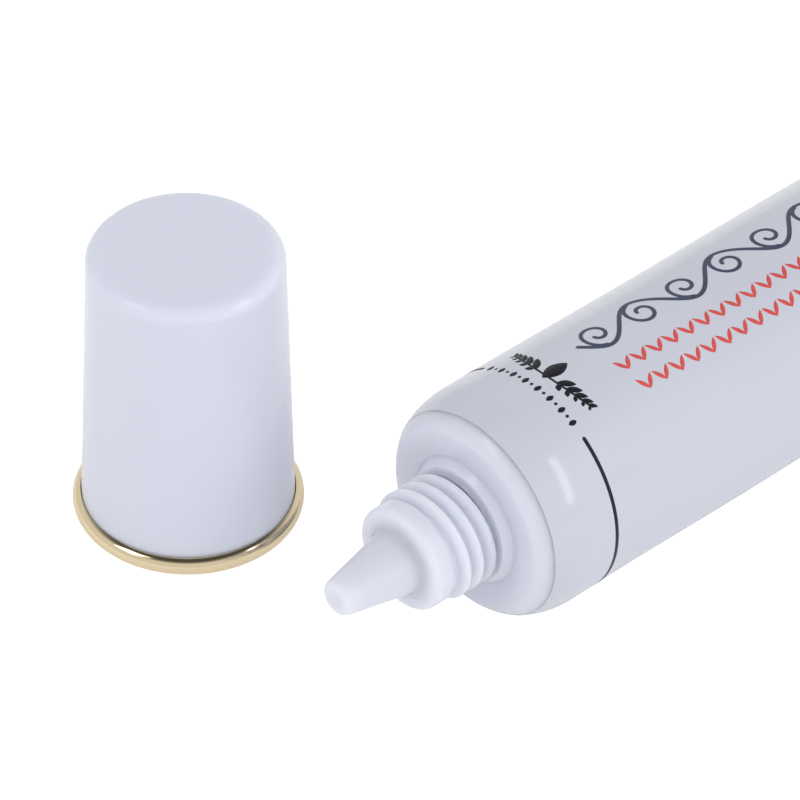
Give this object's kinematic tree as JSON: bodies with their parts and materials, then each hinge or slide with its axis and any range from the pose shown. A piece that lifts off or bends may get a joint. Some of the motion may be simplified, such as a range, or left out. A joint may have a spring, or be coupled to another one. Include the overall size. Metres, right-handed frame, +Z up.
{
  "type": "lip scrub tube",
  "caption": "White squeeze tube for lip scrub, lying on its side, with a threaded neck, a closed conical nozzle and its tall screw cap standing beside it.",
  "frame": {"origin": "middle of the whole part's box, on the surface that the tube lies and the cap stands on", "axes": "+Z up; the tube's axis runs along X, with its nozzle towards -X and its welded tail towards +X; the cap stands on the +Y side of the neck"},
  "size_m": [0.1172, 0.0553, 0.0297],
  "materials": {
    "sleeve_plastic": "white extruded polyethylene, satin gloss, printed",
    "head_plastic": "moulded milky polyethylene, slightly translucent",
    "cap_plastic": "moulded white polypropylene, smooth gloss",
    "gold_plating": "bright pale gold plating"
  },
  "bodies": {
    "tube": {"filled_sleeve": "sleeve_plastic", "nozzle_head": "head_plastic"},
    "cap": {"cap": "cap_plastic", "gold_band": "gold_plating"}
  },
  "joints": [
    {"name": "cap_lift", "type": "slide", "parent": "tube", "child": "cap", "axis": [0, 0, 1], "range_m": [0, 0.03]}
  ]
}
